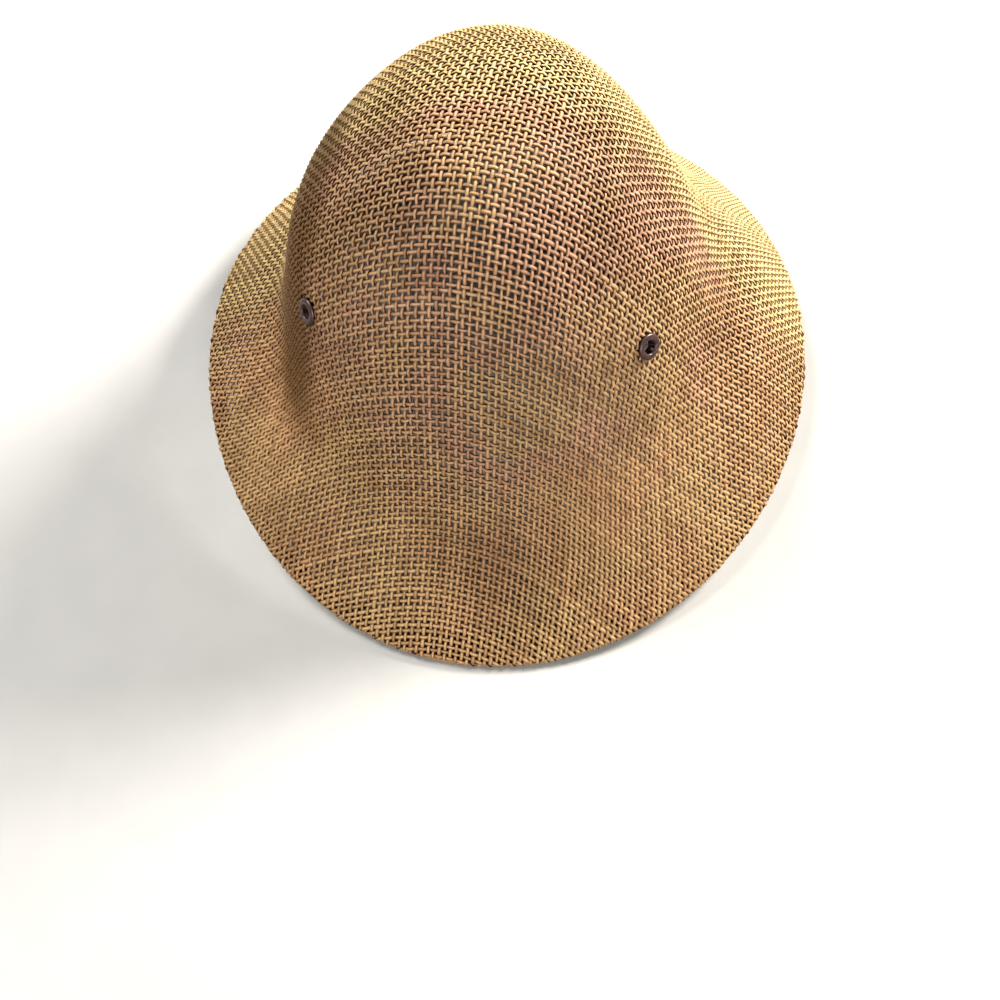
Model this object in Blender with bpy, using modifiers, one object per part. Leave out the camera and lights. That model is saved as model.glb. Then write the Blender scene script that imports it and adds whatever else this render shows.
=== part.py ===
"""Straw-mesh pith helmet, modelled in metres with +Z up and its front facing -Y.

One moulded wall of straw mesh makes the crown and the brim. The mesh is folded under at the brim's
edge and lies beneath it as a narrow hem, and a metal eyelet airs each side of the crown. The helmet
stands on the hem's roll at the front and the back, with its wearer's right side towards -X. Its origin
is on the surface that it stands on, in the middle of its length and width.
"""
import math
from collections import namedtuple

import bmesh
import bpy
from mathutils import Matrix, Vector

# Overall size, to the edge of the shell
CROWN_HEIGHT = 0.164
HALF_WIDTH = 0.138
BACK_LENGTH = 0.151
FRONT_LENGTH = 0.146

# Mesh wall, hem and the gap that separate pieces keep
WALL = 0.0018
HEM_WALL = 0.0012
HEM_WIDTH = 0.0080
SEAM_GAP = 0.0003

# Eyelets: outer flange, bore, and the place of their centres on the crown's sides
EYELET_OUTER_DIAMETER = 0.0106
EYELET_BORE_DIAMETER = 0.0054
EYELET_BARREL_WALL = 0.0006
EYELET_FLANGE_RISE = 0.0011
EYELET_WASHER_DIAMETER = 0.0094
EYELET_WASHER_THICKNESS = 0.0005
EYELET_AROUND = 34.0
EYELET_REACH = 0.555

# Fineness of the loft and of turned pieces
RINGS = 27
SEGMENTS = 72
TURN_STEPS = 20
ROLL_STEPS = 5
STRIP_STEPS = 2

# One row for each section between the crown's top and the brim's edge. reach is a share of the way
# out to the edge; the other columns are shares of the crown's height at that reach, on the wearer's
# right and left sides, at the back and at the front.
Section = namedtuple("Section", "reach right left back front")
SECTIONS = (
    Section(0.00, 1.000, 1.000, 1.000, 1.000),
    Section(0.12, 0.989, 0.986, 0.995, 0.982),
    Section(0.24, 0.940, 0.935, 0.934, 0.952),
    Section(0.36, 0.848, 0.866, 0.825, 0.912),
    Section(0.46, 0.722, 0.785, 0.693, 0.850),
    Section(0.56, 0.598, 0.682, 0.503, 0.708),
    Section(0.68, 0.400, 0.390, 0.283, 0.420),
    Section(0.84, 0.250, 0.268, 0.117, 0.139),
    Section(1.00, 0.072, 0.160, 0.000, 0.000),
)

STRAW_COLOUR = (0.60, 0.42, 0.20, 1.0)
HEM_COLOUR = (0.66, 0.48, 0.24, 1.0)
EYELET_COLOUR = (0.055, 0.030, 0.026, 1.0)


def clear_scene():
    """Remove whatever the opened scene holds."""
    for item in list(bpy.data.objects):
        bpy.data.objects.remove(item, do_unlink=True)


def new_collection(name):
    """Make a collection under the scene's own."""
    collection = bpy.data.collections.new(name)
    bpy.context.scene.collection.children.link(collection)
    return collection


def principled(name, colour, roughness, metallic=0.0):
    """Make a plain material from a colour, a roughness and a metallic value."""
    material = bpy.data.materials.new(name)
    material.use_nodes = True
    shader = material.node_tree.nodes["Principled BSDF"]
    shader.inputs["Base Color"].default_value = colour
    shader.inputs["Roughness"].default_value = roughness
    shader.inputs["Metallic"].default_value = metallic
    material.diffuse_color = colour
    return material


def profile_slope(column, row):
    """Slope of one column at a row: level at the top, straight at the edge, mean of both sides between."""
    def step(low, high):
        rise = getattr(SECTIONS[high], column) - getattr(SECTIONS[low], column)
        return rise / (SECTIONS[high].reach - SECTIONS[low].reach)

    last = len(SECTIONS) - 1
    if row == 0:
        return 0.0
    if row == last:
        return step(last - 1, last)
    before = SECTIONS[row].reach - SECTIONS[row - 1].reach
    after = SECTIONS[row + 1].reach - SECTIONS[row].reach
    return (step(row - 1, row) * after + step(row, row + 1) * before) / (before + after)


def profile_height(column, reach):
    """Height share of one column at any reach, by a cubic between the two rows beside it."""
    row = 0
    while row < len(SECTIONS) - 2 and reach > SECTIONS[row + 1].reach:
        row += 1
    low, high = SECTIONS[row], SECTIONS[row + 1]
    span = high.reach - low.reach
    share = (reach - low.reach) / span
    start, end = getattr(low, column), getattr(high, column)
    start_slope = profile_slope(column, row) * span
    end_slope = profile_slope(column, row + 1) * span
    return (start * (1.0 + 2.0 * share) * (1.0 - share) ** 2
            + start_slope * share * (1.0 - share) ** 2
            + end * share ** 2 * (3.0 - 2.0 * share)
            + end_slope * share ** 2 * (share - 1.0))


def surface_point(around, reach):
    """Point of the outer surface at an angle around the helmet and a reach from its middle.

    The angle is counted from the wearer's left (+X) by the back (+Y), in radians.
    """
    across, along = math.cos(around), math.sin(around)
    length = BACK_LENGTH if along > 0.0 else FRONT_LENGTH
    distance = reach / math.hypot(across / HALF_WIDTH, along / length)
    side = profile_height("left" if across > 0.0 else "right", reach)
    end = profile_height("back" if along > 0.0 else "front", reach)
    share = side * across ** 2 + end * along ** 2
    return Vector((across * distance, along * distance, share * CROWN_HEIGHT))


def surface_frame(around, reach):
    """Point, outward slope direction and outward normal of the outer surface."""
    small = 0.001
    point = surface_point(around, reach)
    outward = (surface_point(around, reach + small) - surface_point(around, reach - small)).normalized()
    sideways = surface_point(around + small, reach) - surface_point(around - small, reach)
    return point, outward, outward.cross(sideways).normalized()


def ring_reaches(count):
    """Reaches of the loft's rings, evenly spaced along the mean of the four profiles."""
    samples = 400
    travelled = [0.0]
    for index in range(samples):
        length = 0.0
        for quarter in range(4):
            around = quarter * math.pi / 2.0
            step = surface_point(around, (index + 1) / samples) - surface_point(around, index / samples)
            length += step.length / 4.0
        travelled.append(travelled[-1] + length)
    reaches = []
    index = 0
    for ring in range(1, count + 1):
        target = travelled[-1] * ring / count
        while index < samples - 1 and travelled[index + 1] < target:
            index += 1
        part = (target - travelled[index]) / (travelled[index + 1] - travelled[index])
        reaches.append(min(1.0, (index + part) / samples))
    return reaches


def turn(segment):
    """Angle around the helmet of one segment."""
    return 2.0 * math.pi * segment / SEGMENTS


def add_object(name, mesh, collection, material):
    """Put a mesh in a collection as a smooth shaded object."""
    item = bpy.data.objects.new(name, mesh)
    collection.objects.link(item)
    if material:
        mesh.materials.append(material)
    mesh.shade_smooth()
    return item


def build_shell(collection, material):
    """Crown and brim: an open surface lofted ring by ring, then given the wall's thickness."""
    shape = bmesh.new()
    top = shape.verts.new(surface_point(0.0, 0.0))
    rings = []
    reaches = ring_reaches(RINGS)
    for reach in reaches:
        ring = []
        for segment in range(SEGMENTS):
            point, outward, _ = surface_frame(turn(segment), reach)
            if reach == reaches[-1]:
                point = point - outward * SEAM_GAP
            ring.append(shape.verts.new(point))
        rings.append(ring)
    for segment in range(SEGMENTS):
        following = (segment + 1) % SEGMENTS
        shape.faces.new((top, rings[0][segment], rings[0][following]))
        for inner, outer in zip(rings, rings[1:]):
            shape.faces.new((inner[segment], outer[segment], outer[following], inner[following]))
    mesh = bpy.data.meshes.new("shell")
    shape.to_mesh(mesh)
    shape.free()
    shell = add_object("shell", mesh, collection, material)
    wall = shell.modifiers.new("wall", "SOLIDIFY")
    wall.thickness = WALL
    wall.offset = -1.0
    wall.use_even_offset = True
    return shell


def inward_frame(around, distance):
    """Frame of the outer surface at a distance in from the brim's edge, measured along the surface."""
    small = 0.001
    stretch = (surface_point(around, 1.0) - surface_point(around, 1.0 - small)).length / small
    return surface_frame(around, 1.0 - distance / stretch)


def hem_section(around):
    """Corners of the hem's section at one angle: a half-round roll, then a strip beneath the brim."""
    radius = (WALL + SEAM_GAP + HEM_WALL) / 2.0
    edge, outward, normal = surface_frame(around, 1.0)
    corners = []
    for step in range(ROLL_STEPS + 1):
        angle = math.pi / 2.0 - math.pi * step / ROLL_STEPS
        corners.append(edge + outward * radius * math.cos(angle) + normal * radius * (math.sin(angle) - 1.0))
    top_face = []
    for step in range(1, STRIP_STEPS + 1):
        point, _, up = inward_frame(around, HEM_WIDTH * step / STRIP_STEPS)
        corners.append(point - up * 2.0 * radius)
        top_face.append(point - up * (WALL + SEAM_GAP))
    corners.extend(reversed(top_face))
    corners.append(edge - normal * (WALL + SEAM_GAP))
    return corners


def build_hem(collection, material):
    """Hem: its section swept once round the brim's edge."""
    shape = bmesh.new()
    loops = []
    for segment in range(SEGMENTS):
        loops.append([shape.verts.new(corner) for corner in hem_section(turn(segment))])
    for segment, loop in enumerate(loops):
        following = loops[(segment + 1) % SEGMENTS]
        for corner in range(len(loop)):
            after = (corner + 1) % len(loop)
            shape.faces.new((loop[corner], loop[after], following[after], following[corner]))
    mesh = bpy.data.meshes.new("brim_hem")
    shape.to_mesh(mesh)
    shape.free()
    hem = add_object("brim_hem", mesh, collection, material)
    mesh.set_sharp_from_angle(angle=math.radians(50.0))
    return hem


def eyelet_angle(side):
    """Angle around the helmet of an eyelet; side is +1 on the left and -1 on the right."""
    around = math.radians(EYELET_AROUND)
    return around if side > 0 else math.pi - around


def eyelet_place(side):
    """Place of an eyelet, with its axis along the shell's outward normal."""
    point, _, normal = surface_frame(eyelet_angle(side), EYELET_REACH)
    return Matrix.Translation(point) @ normal.to_track_quat("Z", "Y").to_matrix().to_4x4()


def seat_levels(side):
    """Lowest and highest level of the outer surface under an eyelet's flange, along the eyelet's axis."""
    small = 0.001
    centre_angle = eyelet_angle(side)
    centre = surface_point(centre_angle, EYELET_REACH)
    per_angle = (surface_point(centre_angle + small, EYELET_REACH) - centre).length / small
    per_reach = (surface_point(centre_angle, EYELET_REACH + small) - centre).length / small
    to_eyelet = eyelet_place(side).inverted()
    levels = [0.0]
    for step in range(TURN_STEPS):
        angle = 2.0 * math.pi * step / TURN_STEPS
        across = EYELET_OUTER_DIAMETER / 2.0 * math.cos(angle)
        down = EYELET_OUTER_DIAMETER / 2.0 * math.sin(angle)
        nearby = surface_point(centre_angle + across / per_angle, EYELET_REACH + down / per_reach)
        levels.append((to_eyelet @ nearby).z)
    return min(levels), max(levels)


def eyelet_profile(side):
    """Closed profile of an eyelet as (radius, height) pairs, from the flange's top down its outer side.

    Height zero is the shell's outer surface: the flange lies above it and the washer beneath the wall.
    """
    lowest, highest = seat_levels(side)
    bore = EYELET_BORE_DIAMETER / 2.0
    barrel = bore + EYELET_BARREL_WALL
    flange = EYELET_OUTER_DIAMETER / 2.0
    washer = EYELET_WASHER_DIAMETER / 2.0
    crest = bore + (flange - bore) * 0.45
    seat = highest + SEAM_GAP
    under = lowest - WALL - SEAM_GAP
    return (
        (bore, seat + EYELET_FLANGE_RISE * 0.75),
        (bore + EYELET_BARREL_WALL * 0.5, seat + EYELET_FLANGE_RISE * 0.95),
        (crest, seat + EYELET_FLANGE_RISE),
        (flange - EYELET_FLANGE_RISE * 0.3, seat + EYELET_FLANGE_RISE * 0.7),
        (flange, seat + EYELET_FLANGE_RISE * 0.3),
        (flange, seat),
        (barrel, seat),
        (barrel, under),
        (washer, under),
        (washer, under - EYELET_WASHER_THICKNESS),
        (bore, under - EYELET_WASHER_THICKNESS),
    )


def build_eyelet(name, side, collection, material):
    """Eyelet: a turned grommet seated through the shell's wall."""
    profile = eyelet_profile(side)
    mesh = bpy.data.meshes.new(name)
    edges = [(corner, (corner + 1) % len(profile)) for corner in range(len(profile))]
    mesh.from_pydata([(radius, 0.0, height) for radius, height in profile], edges, [])
    eyelet = add_object(name, mesh, collection, material)
    turned = eyelet.modifiers.new("turned", "SCREW")
    turned.steps = TURN_STEPS
    turned.render_steps = TURN_STEPS
    turned.use_merge_vertices = True
    turned.merge_threshold = 0.00001
    turned.use_smooth_shade = True
    eyelet.matrix_world = eyelet_place(side)
    return eyelet


def cut_eyelet_hole(shell, side, cutters):
    """Cut the hole that an eyelet's barrel passes through."""
    radius = EYELET_BORE_DIAMETER / 2.0 + EYELET_BARREL_WALL + SEAM_GAP
    shape = bmesh.new()
    bmesh.ops.create_cone(shape, cap_ends=True, segments=TURN_STEPS, radius1=radius, radius2=radius,
                          depth=WALL * 6.0)
    mesh = bpy.data.meshes.new("eyelet_hole")
    shape.to_mesh(mesh)
    shape.free()
    cutter = add_object("eyelet_hole", mesh, cutters, None)
    cutter.matrix_world = eyelet_place(side)
    cutter.hide_render = True
    cutter.display_type = "WIRE"
    hole = shell.modifiers.new("eyelet_hole", "BOOLEAN")
    hole.operation = "DIFFERENCE"
    hole.solver = "EXACT"
    hole.object = cutter


def hem_lowest():
    """Height of the hem's lowest corner before the helmet is stood on its surface."""
    return min(corner.z for segment in range(SEGMENTS) for corner in hem_section(turn(segment)))


def main():
    """Build the helmet and stand it on the hem."""
    clear_scene()
    helmet = new_collection("pith_helmet")
    cutters = new_collection("cutters")
    straw = principled("straw_mesh", STRAW_COLOUR, 0.75)
    folded = principled("folded_straw", HEM_COLOUR, 0.75)
    metal = principled("painted_metal", EYELET_COLOUR, 0.40, 0.3)

    stand = bpy.data.objects.new("helmet_origin", None)
    helmet.objects.link(stand)
    shell = build_shell(helmet, straw)
    pieces = [shell, build_hem(helmet, folded)]
    for name, side in (("eyelet_left", 1), ("eyelet_right", -1)):
        cut_eyelet_hole(shell, side, cutters)
        pieces.append(build_eyelet(name, side, helmet, metal))
    for item in pieces + list(cutters.objects):
        item.parent = stand
    stand.location = (0.0, (FRONT_LENGTH - BACK_LENGTH) / 2.0, -hem_lowest())


main()
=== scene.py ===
"""Dresses the pith helmet: open straw weave over the moulded form, a turned-in hem and two painted eyelets."""

from __future__ import annotations

import logging
import math
from dataclasses import dataclass, field
from enum import Enum
from typing import NamedTuple

import bpy
import numpy as np
from mathutils import Matrix, Vector
from mathutils.bvhtree import BVHTree


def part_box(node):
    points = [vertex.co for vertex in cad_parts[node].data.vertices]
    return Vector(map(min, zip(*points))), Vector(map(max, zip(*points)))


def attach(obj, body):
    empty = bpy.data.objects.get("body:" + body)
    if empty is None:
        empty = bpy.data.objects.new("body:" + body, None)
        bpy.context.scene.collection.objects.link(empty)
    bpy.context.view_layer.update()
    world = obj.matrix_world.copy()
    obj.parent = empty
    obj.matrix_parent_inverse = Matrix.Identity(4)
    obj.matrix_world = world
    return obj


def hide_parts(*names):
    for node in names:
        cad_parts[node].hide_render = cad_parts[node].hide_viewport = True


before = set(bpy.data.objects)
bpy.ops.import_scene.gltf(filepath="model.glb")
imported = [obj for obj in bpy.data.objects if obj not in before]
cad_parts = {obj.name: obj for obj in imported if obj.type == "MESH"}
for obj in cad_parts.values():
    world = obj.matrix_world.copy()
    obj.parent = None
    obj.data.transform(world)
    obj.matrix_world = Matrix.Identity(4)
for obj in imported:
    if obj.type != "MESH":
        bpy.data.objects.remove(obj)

LOG = logging.getLogger("pith_helmet")
BODY = "root"
HEM_PIECE = "hem_strands_turned_in"
SMOOTH_STEP = {"interpolation_type": "SMOOTHSTEP", "clamp": True}
FAR = 1.0
QUARTER = math.pi / 2.0
Colour = Place = tuple[float, float, float]
Pair = tuple[float, float]
Array = np.ndarray
Random = np.random.Generator
Material = bpy.types.Material
Object = bpy.types.Object


class Kind(Enum):
    """What a shader signal carries."""

    VALUE = "value"
    VECTOR = "vector"
    COLOUR = "colour"


class Family(Enum):
    """The two families of strands in the plain weave."""

    CROSSWISE = "crosswise"
    LENGTHWISE = "lengthwise"

    @property
    def parts(self) -> tuple[str, str, str]:
        """Names of the three bands that the family's strands are kept in."""
        return ("front", "middle", "back") if self is Family.CROSSWISE else ("left", "middle", "right")


class Layer(Enum):
    """Where a stretch of strand lies: on the shell, or in the hem that is turned in beneath the brim."""

    SHELL = "shell"
    HEM = "brim_hem"


class Grain(NamedTuple):
    """Settings of a noise: features in one unit of length, octaves, and strength of the finer octaves."""

    scale: float
    octaves: float
    roughness: float


class Step(NamedTuple):
    """Values at which a soft step starts and ends; the start may be the greater of the two."""

    start: float
    end: float


class Zone(NamedTuple):
    """A zone of the helmet: a direction that its border is crossed in, the border's wobble, and its soft step."""

    direction: Place
    wobble: float
    border: Step


def round_angles(count: int) -> Array:
    """Equal angles round a full turn."""
    return np.arange(count) * 2.0 * math.pi / count


def unit(vectors: Array) -> Array:
    """Vectors of length 1 in the same directions."""
    return vectors / np.maximum(np.linalg.norm(vectors, axis=-1, keepdims=True), 1e-12)


class Shader:
    """Node tree of one material, with nodes made from Python expressions."""

    def __init__(self, name: str) -> None:
        """Start an empty material.

        Args:
            name: Name of the material.
        """
        self.material = bpy.data.materials.new(name)
        self.material.use_nodes = True
        self.tree = self.material.node_tree
        self.tree.nodes.clear()
        self.output = self.tree.nodes.new("ShaderNodeOutputMaterial")

    @staticmethod
    def _socket(sockets: object, key: str | int) -> bpy.types.NodeSocket:
        """Find a socket by its identifier, name or number."""
        same = [socket for socket in sockets if socket.identifier == key]
        return same[0] if same else sockets[key]

    def node(self, kind: str, settings: dict | None = None, inputs: dict | None = None) -> bpy.types.Node:
        """Add one node.

        Args:
            kind: Type of the node.
            settings: Properties of the node, set first.
            inputs: Values or signals of its sockets.

        Returns:
            The new node.
        """
        node = self.tree.nodes.new(kind)
        for key, value in (settings or {}).items():
            setattr(node, key, value)
        for key, value in (inputs or {}).items():
            socket = self._socket(node.inputs, key)
            if isinstance(value, Signal):
                self.tree.links.new(value.socket, socket)
            elif isinstance(value, tuple) and socket.type == "RGBA":
                socket.default_value = (*value, 1.0)
            else:
                socket.default_value = value
        return node

    def signal(self, node: bpy.types.Node, key: str, kind: Kind) -> Signal:
        """Wrap an output of a node."""
        return Signal(self, self._socket(node.outputs, key), kind)

    def object_place(self) -> Signal:
        """Place of the shaded point in the helmet's own frame, in metres."""
        return self.signal(self.node("ShaderNodeTexCoord"), "Object", Kind.VECTOR)

    def attribute(self, name: str, kind: Kind) -> Signal:
        """Read an attribute of the mesh."""
        key = "Fac" if kind is Kind.VALUE else "Vector"
        return self.signal(self.node("ShaderNodeAttribute", {"attribute_name": name}), key, kind)

    def noise(self, place: Signal, grain: Grain) -> Signal:
        """Smooth noise between 0 and 1, read at a place."""
        inputs = {"Vector": place, "Scale": grain.scale, "Detail": grain.octaves, "Roughness": grain.roughness}
        return self.signal(self.node("ShaderNodeTexNoise", {}, inputs), "Fac", Kind.VALUE)

    def step(self, value: Signal, step: Step) -> Signal:
        """Smooth step from 0 where the value is at the step's start to 1 where it is at its end."""
        inputs = {"Value": value, "From Min": step.start, "From Max": step.end}
        return self.signal(self.node("ShaderNodeMapRange", SMOOTH_STEP, inputs), "Result", Kind.VALUE)

    def mix(self, factor: Signal | float, first: Signal | Colour, second: Signal | Colour,
            blend: str = "MIX") -> Signal:
        """Mix two colours.

        Args:
            factor: Share of the second colour.
            first: Colour at factor 0.
            second: Colour at factor 1.
            blend: How the colours are combined.

        Returns:
            The mixed colour.
        """
        settings = {"data_type": "RGBA", "blend_type": blend, "clamp_factor": True}
        inputs = {"Factor_Float": factor, "A_Color": first, "B_Color": second}
        return self.signal(self.node("ShaderNodeMix", settings, inputs), "Result_Color", Kind.COLOUR)

    def zone(self, zone: Zone, place: Signal, blotch: Signal) -> Signal:
        """Strength of a zone at a place.

        Args:
            zone: The zone.
            place: The shaded point.
            blotch: Wobble of the zone's border, round 0.

        Returns:
            The strength as a value.
        """
        inputs = {0: place, 1: zone.direction}
        node = self.node("ShaderNodeVectorMath", {"operation": "DOT_PRODUCT"}, inputs)
        return self.step(self.signal(node, "Value", Kind.VALUE) + blotch * zone.wobble, zone.border)

    def relief(self, height: Signal, distance: float) -> Signal:
        """Normal of a relief whose height of 1 is the given distance in metres."""
        node = self.node("ShaderNodeBump", {}, {"Height": height, "Distance": distance, "Strength": 1.0})
        return self.signal(node, "Normal", Kind.VECTOR)

    def finish(self, inputs: dict) -> Material:
        """Close the material with its Principled shader.

        Args:
            inputs: Values or signals of the shader's sockets.

        Returns:
            The finished material.
        """
        surface = self.node("ShaderNodeBsdfPrincipled", {}, inputs)
        self.tree.links.new(surface.outputs[0], self.output.inputs["Surface"])
        return self.material


class Signal:
    """Output of a shader node that Python operators combine."""

    def __init__(self, shader: Shader, socket: bpy.types.NodeSocket, kind: Kind) -> None:
        """Wrap a socket.

        Args:
            shader: The shader that the socket belongs to.
            socket: Output socket of a node.
            kind: What the socket carries.
        """
        self.shader = shader
        self.socket = socket
        self.kind = kind

    def _join(self, operation: str, other: Signal | float | Colour, swapped: bool = False) -> Signal:
        """Combine this signal with another value.

        Args:
            operation: Name of the operation, as Math, Vector Math and Mix nodes know it.
            other: The other operand.
            swapped: Whether the other operand comes first.

        Returns:
            The combined signal.
        """
        pair = (other, self) if swapped else (self, other)
        if self.kind is not Kind.VALUE:
            pair = tuple((float(part),) * 3 if isinstance(part, (int, float)) else part for part in pair)
        if self.kind is Kind.COLOUR:
            return self.shader.mix(1.0, *pair, blend=operation)
        prefix, output = ("", "Value") if self.kind is Kind.VALUE else ("Vector", "Vector")
        node = self.shader.node(f"ShaderNode{prefix}Math", {"operation": operation}, dict(enumerate(pair)))
        return self.shader.signal(node, output, self.kind)

    def __add__(self, other: Signal | float | Colour) -> Signal:
        """Sum."""
        return self._join("ADD", other)

    def __radd__(self, other: float | Colour) -> Signal:
        """Sum with this signal second."""
        return self._join("ADD", other, swapped=True)

    def __sub__(self, other: Signal | float | Colour) -> Signal:
        """Difference."""
        return self._join("SUBTRACT", other)

    def __rsub__(self, other: float | Colour) -> Signal:
        """Difference with this signal second."""
        return self._join("SUBTRACT", other, swapped=True)

    def __mul__(self, other: Signal | float | Colour) -> Signal:
        """Product."""
        return self._join("MULTIPLY", other)

    def __rmul__(self, other: float | Colour) -> Signal:
        """Product with this signal second."""
        return self._join("MULTIPLY", other, swapped=True)


@dataclass(frozen=True)
class StrawFinish:
    """Natural paper straw, twisted into strands, with mottled dye and fine fibres.

    The dye is pale in front, pink on the crown and tan below, with olive patches. Painted shade darkens the fold
    between the crown's left wall and the brim, and the sides and undersides of the strands. The zones lie in the
    helmet's own frame, in metres.
    """

    name: str
    pale: Colour = (0.59, 0.45, 0.215)
    tan: Colour = (0.475, 0.298, 0.150)
    pink: Colour = (0.455, 0.283, 0.180)
    olive: Colour = (0.455, 0.318, 0.158)
    # Dark straw for stains and darker strands, and the colour of the painted shade on the strands' sides and
    # undersides.
    shade: Colour = (0.075, 0.024, 0.006)
    # Colour of the painted shade in the fold between the crown's left wall and the brim.
    painted_fold_shade: Colour = (0.090, 0.042, 0.006)
    blotches: Grain = Grain(26.0, 3.0, 0.55)
    patches: Grain = Grain(20.8, 3.0, 0.6)
    specks: Grain = Grain(156.0, 2.0, 0.5)
    stains: Grain = Grain(16.9, 4.0, 0.6)
    streaks: Grain = Grain(2.6, 4.0, 0.6)
    patch_shift: float = 7.0
    stain_shift: float = 3.0
    front: Zone = Zone((-0.06, 1.0, 0.10), 0.035, Step(0.010, -0.014))
    low: Zone = Zone((0.0, 0.0, 1.0), 0.12, Step(0.095, 0.045))
    # Zones whose product marks the fold that gets painted shade.
    painted_fold_shade_zones: tuple[Zone, ...] = (
        Zone((1.0, -0.15, 0.0), 0.02, Step(0.050, 0.064)),
        Zone((1.0, 0.0, -0.20), 0.02, Step(0.085, 0.066)),
        Zone((0.0, 1.0, 0.0), 0.0, Step(-0.060, -0.020)),
        Zone((0.0, 1.0, 0.0), 0.0, Step(0.080, 0.052)),
    )
    patch_border: Step = Step(0.38, 0.60)
    stain_border: Step = Step(0.48, 0.70)
    light_border: Step = Step(-0.45, 0.35)
    # Painted shade on the sides and undersides of the strands, where little light reaches.
    painted_underside_shade_border: Step = Step(0.96, 0.20)
    tan_share: float = 0.85
    olive_share: float = 0.8
    stain_share: float = 0.30
    dull_share: float = 0.45
    painted_underside_shade_share: float = 0.96
    painted_fold_shade_share: float = 0.85
    tone_weight: float = 0.9
    streak_weight: float = 1.3
    speck_weight: float = 0.7
    fibre_depth: float = 0.00020
    roughness: float = 0.55
    roughness_swing: float = 0.25
    specular: float = 0.4

    def build(self) -> Material:
        """Build the material.

        Returns:
            The straw material.
        """
        shader = Shader(self.name)
        place = shader.object_place()
        blotch = shader.noise(place, self.blotches) - 0.5
        streak = shader.noise(shader.attribute("fibre", Kind.VECTOR), self.streaks)
        # Painted shade: the strands darken towards the shade colour as their surface turns away from the cloth's
        # outer face.
        painted_underside_shade = shader.step(shader.attribute("facing", Kind.VALUE), self.painted_underside_shade_border)
        # Painted shade in the fold between the crown's left wall and the brim.
        painted_fold_shade = math.prod(shader.zone(zone, place, blotch) for zone in self.painted_fold_shade_zones)
        dull = self._dull(shader, self._dye(shader, place, blotch), place, streak)
        colour = shader.mix(painted_underside_shade * self.painted_underside_shade_share, dull, self.shade)
        return shader.finish({
            "Base Color": shader.mix(painted_fold_shade * self.painted_fold_shade_share, colour, self.painted_fold_shade),
            "Roughness": self.roughness + (streak - 0.5) * self.roughness_swing,
            "Normal": shader.relief(streak, self.fibre_depth),
            "Specular IOR Level": self.specular,
        })

    def _dye(self, shader: Shader, place: Signal, blotch: Signal) -> Signal:
        """Colour of the clean straw.

        Args:
            shader: The material's shader.
            place: The shaded point.
            blotch: Wobble of the zones' borders.

        Returns:
            The colour.
        """
        low = shader.zone(self.low, place, blotch) * self.tan_share
        patch = shader.step(shader.noise(place + self.patch_shift, self.patches), self.patch_border)
        aged = shader.mix(patch * self.olive_share, shader.mix(low, self.pink, self.tan), self.olive)
        return shader.mix(shader.zone(self.front, place, blotch), aged, self.pale)

    def _dull(self, shader: Shader, dye: Signal, place: Signal, streak: Signal) -> Signal:
        """Stain the dyed straw, and darken some strands and fibres.

        Args:
            shader: The material's shader.
            dye: Colour of the clean straw.
            place: The shaded point.
            streak: Streaks along the fibres.

        Returns:
            The colour.
        """
        stain = shader.step(shader.noise(place + self.stain_shift, self.stains), self.stain_border)
        soiled = shader.mix(stain * self.stain_share, dye, self.shade)
        speck = (shader.noise(place, self.specks) - 0.5) * self.speck_weight
        tone = shader.attribute("tone", Kind.VALUE) * self.tone_weight
        light = shader.step(tone + (streak - 0.5) * self.streak_weight + speck, self.light_border)
        return shader.mix(light, shader.mix(self.dull_share, soiled, self.shade), soiled)


@dataclass(frozen=True)
class EyeletFinish:
    """Dark red-brown paint on a rolled metal eyelet, worn on its crest."""

    name: str
    paint: Colour = (0.034, 0.014, 0.012)
    faded: Colour = (0.058, 0.027, 0.022)
    metal: Colour = (0.25, 0.20, 0.17)
    specks: Grain = Grain(900.0, 4.0, 0.6)
    patches: Grain = Grain(260.0, 2.0, 0.5)
    fade_border: Step = Step(0.35, 0.7)
    bare_border: Step = Step(0.70, 1.0)
    speck_weight: float = 0.9
    metallic: float = 0.8
    relief_depth: float = 0.00006
    roughness: float = 0.38
    roughness_swing: float = 0.3
    specular: float = 0.5

    def build(self) -> Material:
        """Build the material.

        Returns:
            The painted metal.
        """
        shader = Shader(self.name)
        place = shader.object_place()
        speck = shader.noise(place, self.specks)
        worn = shader.attribute("wear", Kind.VALUE) + (speck - 0.5) * self.speck_weight
        bare = shader.step(worn, self.bare_border)
        fading = shader.step(shader.noise(place, self.patches), self.fade_border)
        return shader.finish({
            "Base Color": shader.mix(bare, shader.mix(fading, self.paint, self.faded), self.metal),
            "Roughness": self.roughness + (speck - 0.5) * self.roughness_swing,
            "Metallic": bare * self.metallic,
            "Normal": shader.relief(speck, self.relief_depth),
            "Specular IOR Level": self.specular,
        })


@dataclass(frozen=True)
class FloorFinish:
    """Matt pale studio floor."""

    name: str
    colour: Colour = (0.44, 0.43, 0.41)
    dark_share: float = 0.97
    mottle: Grain = Grain(40.0, 3.0, 0.5)
    mottle_border: Step = Step(0.3, 0.7)
    roughness: float = 0.9
    specular: float = 0.1

    def build(self) -> Material:
        """Build the material.

        Returns:
            The floor's material.
        """
        shader = Shader(self.name)
        mottle = shader.step(shader.noise(shader.object_place(), self.mottle), self.mottle_border)
        darker = tuple(part * self.dark_share for part in self.colour)
        return shader.finish({
            "Base Color": shader.mix(mottle, darker, self.colour),
            "Roughness": self.roughness,
            "Specular IOR Level": self.specular,
        })


class Dent(NamedTuple):
    """A soft dent that handling has left in the cloth; a negative depth is a swelling."""

    across: float
    along: float
    radius: float
    depth: float


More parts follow.
